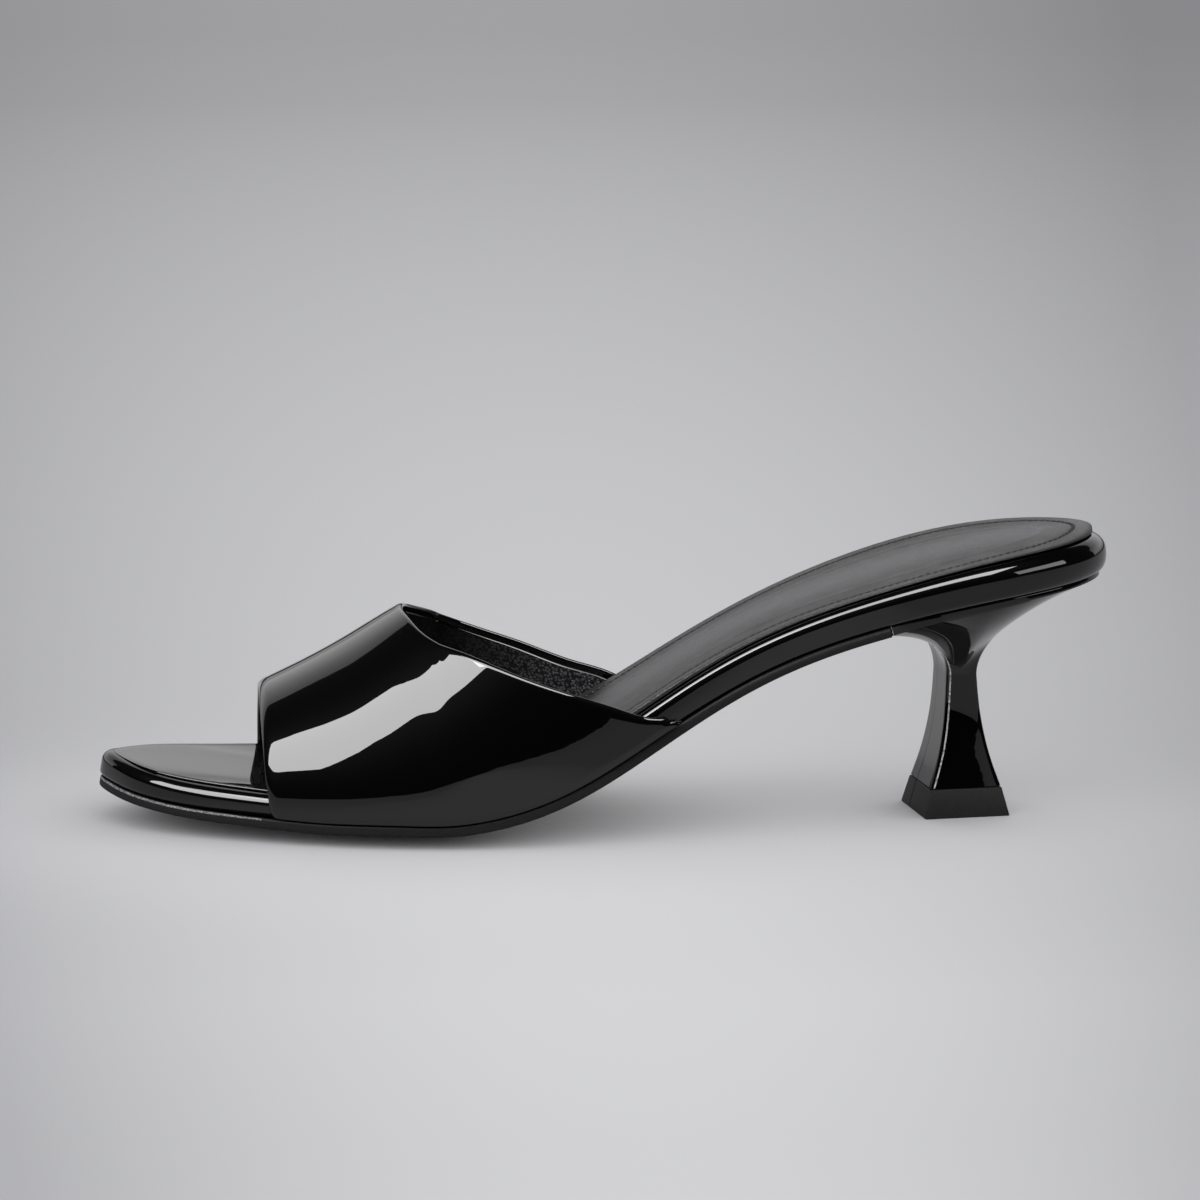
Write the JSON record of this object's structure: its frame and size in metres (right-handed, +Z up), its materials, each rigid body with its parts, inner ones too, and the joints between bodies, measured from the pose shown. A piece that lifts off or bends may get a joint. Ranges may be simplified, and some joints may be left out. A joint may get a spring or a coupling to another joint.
{
  "type": "heeled slide sandal",
  "caption": "Open-toe slide sandal in black patent: one wide band over the foot, a rolled-edge footbed with a stitched sock, and a waisted flared heel on a square top piece.",
  "frame": {"origin": "on the floor, under the middle of the shoe's box", "axes": "+X from toe to heel, +Y to the inner side of the foot, +Z up"},
  "size_m": [0.233, 0.0782, 0.0676],
  "materials": {
    "outsole": "matt moulded sole, ground at the edge",
    "midsole": "black patent wrapped over a footbed, high gloss",
    "insole": "fine-grained charcoal sock, satin",
    "upper": "black patent, mirror gloss",
    "heel": "heel block wrapped in black patent",
    "top_piece": "matt moulded top piece"
  },
  "bodies": {
    "root": {"outsole": "outsole", "midsole": "midsole", "insole": "insole", "upper": "upper", "heel": "heel", "top_piece": "top_piece"}
  },
  "joints": []
}
